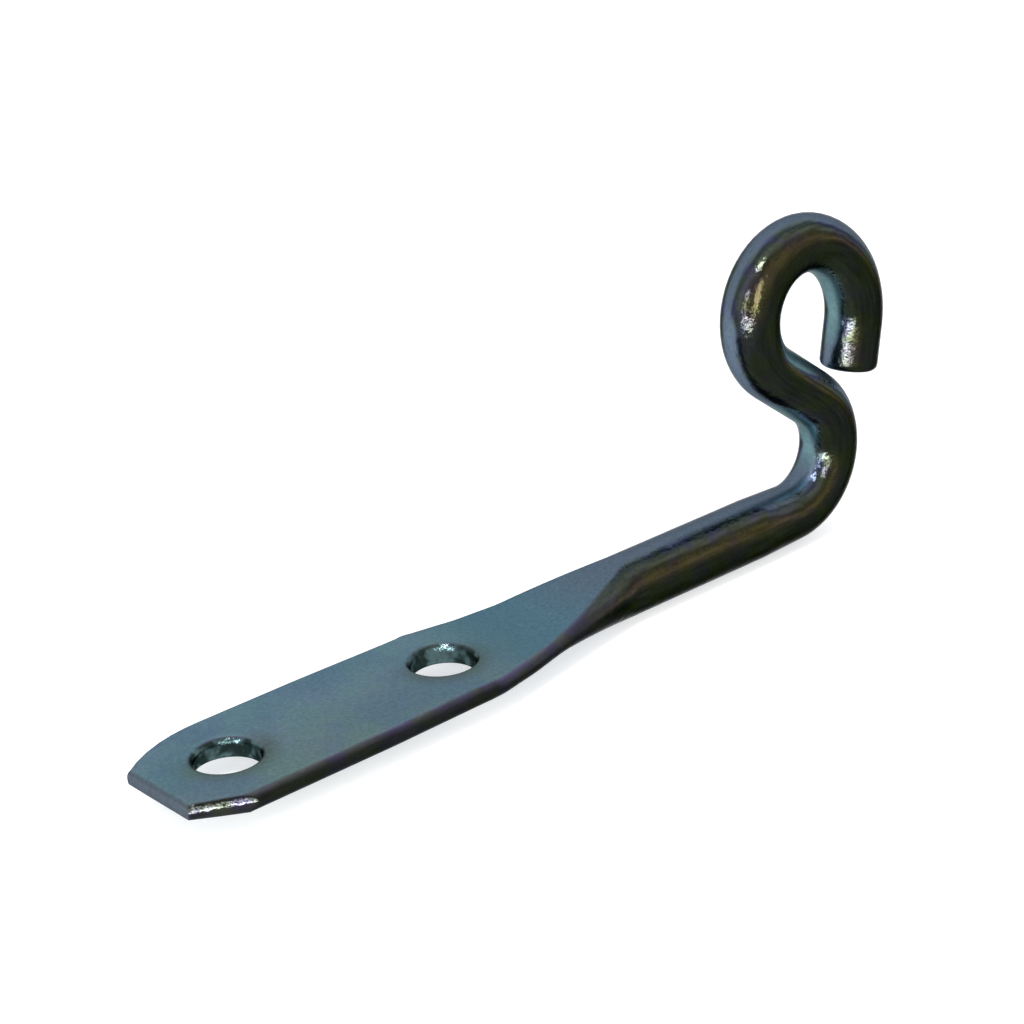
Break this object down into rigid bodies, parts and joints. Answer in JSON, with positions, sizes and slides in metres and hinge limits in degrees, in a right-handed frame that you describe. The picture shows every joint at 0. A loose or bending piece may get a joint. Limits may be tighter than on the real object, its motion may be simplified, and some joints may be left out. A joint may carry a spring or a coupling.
{
  "type": "keder hook",
  "caption": "Round steel rod pressed flat into a blade with two screw holes at one end and bent through an S into an open eye at the other.",
  "frame": {"origin": "midway between the two screw holes, on the mounting face under the blade", "axes": "+X along the rod towards the eye, +Y across the blade, +Z out of the mounting face"},
  "size_m": [0.0862, 0.0146, 0.0324],
  "materials": {
    "plated_steel": "glossy blue-passivated zinc plating over drawn steel"
  },
  "bodies": {
    "root": {"hook": "plated_steel"}
  },
  "joints": []
}
